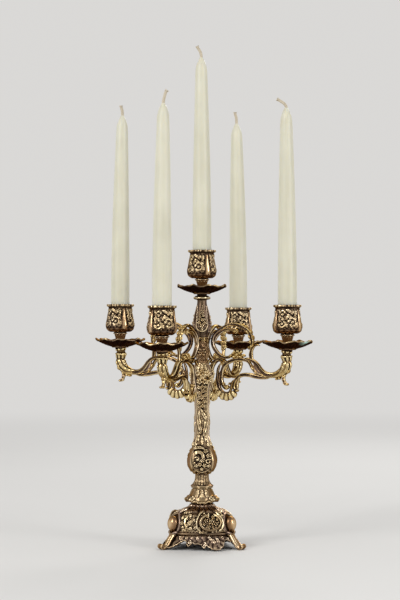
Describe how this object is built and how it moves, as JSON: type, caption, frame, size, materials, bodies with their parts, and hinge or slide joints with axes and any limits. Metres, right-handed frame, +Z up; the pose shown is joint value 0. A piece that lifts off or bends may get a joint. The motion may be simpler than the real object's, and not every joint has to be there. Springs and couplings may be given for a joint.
{
  "type": "candelabrum",
  "caption": "Table candelabrum with scrolled turning arms, drip pans and tulip sockets around a three-sided column on scroll feet, holding tapers.",
  "frame": {"origin": "on the floor under the tie rod's axis, midway between the arms", "axes": "+Z up along the tie rod; +X along one arm, six degrees round from one foot; +Y along the next arm"},
  "size_m": [0.268, 0.268, 0.5801],
  "materials": {
    "antique_brass": "cast antique brass, gilt worn to brown with dark patina in the recesses",
    "rod_steel": "plain turned steel",
    "candle_wax": "ivory wax, faint sheen",
    "wick_cotton": "plaited cotton"
  },
  "bodies": {
    "stand": {"base": "antique_brass", "base_washer": "rod_steel", "base_nut": "rod_steel", "tie_rod": "rod_steel", "bell_collar": "antique_brass", "column": "antique_brass", "rosette_hub": "antique_brass", "vase": "antique_brass", "pan_centre": "antique_brass", "cup_centre": "antique_brass"},
    "branch_right": {"arm_right": "antique_brass", "pan_right": "antique_brass", "cup_right": "antique_brass", "stud_right": "rod_steel"},
    "branch_back": {"arm_back": "antique_brass", "pan_back": "antique_brass", "cup_back": "antique_brass", "stud_back": "rod_steel"},
    "branch_left": {"arm_left": "antique_brass", "pan_left": "antique_brass", "cup_left": "antique_brass", "stud_left": "rod_steel"},
    "branch_front": {"arm_front": "antique_brass", "pan_front": "antique_brass", "cup_front": "antique_brass", "stud_front": "rod_steel"},
    "taper_centre": {"candle_centre": "candle_wax", "wick_centre": "wick_cotton"},
    "taper_right": {"candle_right": "candle_wax", "wick_right": "wick_cotton"},
    "taper_back": {"candle_back": "candle_wax", "wick_back": "wick_cotton"},
    "taper_left": {"candle_left": "candle_wax", "wick_left": "wick_cotton"},
    "taper_front": {"candle_front": "candle_wax", "wick_front": "wick_cotton"}
  },
  "joints": [
    {"name": "turn_right", "type": "hinge", "parent": "stand", "child": "branch_right", "pos_m": [0, 0, 0.2398], "axis": [0, 0, 1], "range_deg": [-25, 25]},
    {"name": "turn_back", "type": "hinge", "parent": "stand", "child": "branch_back", "pos_m": [0, 0, 0.2374], "axis": [0, 0, 1], "range_deg": [-25, 25]},
    {"name": "turn_left", "type": "hinge", "parent": "stand", "child": "branch_left", "pos_m": [0, 0, 0.241], "axis": [0, 0, 1], "range_deg": [-25, 25]},
    {"name": "turn_front", "type": "hinge", "parent": "stand", "child": "branch_front", "pos_m": [0, 0, 0.2386], "axis": [0, 0, 1], "range_deg": [-25, 25]},
    {"name": "lift_centre", "type": "slide", "parent": "stand", "child": "taper_centre", "axis": [0, 0, 1], "range_m": [0, 0.04]},
    {"name": "lift_right", "type": "slide", "parent": "branch_right", "child": "taper_right", "axis": [0, 0, 1], "range_m": [0, 0.04]},
    {"name": "lift_back", "type": "slide", "parent": "branch_back", "child": "taper_back", "axis": [0, 0, 1], "range_m": [0, 0.04]},
    {"name": "lift_left", "type": "slide", "parent": "branch_left", "child": "taper_left", "axis": [0, 0, 1], "range_m": [0, 0.04]},
    {"name": "lift_front", "type": "slide", "parent": "branch_front", "child": "taper_front", "axis": [0, 0, 1], "range_m": [0, 0.04]}
  ]
}
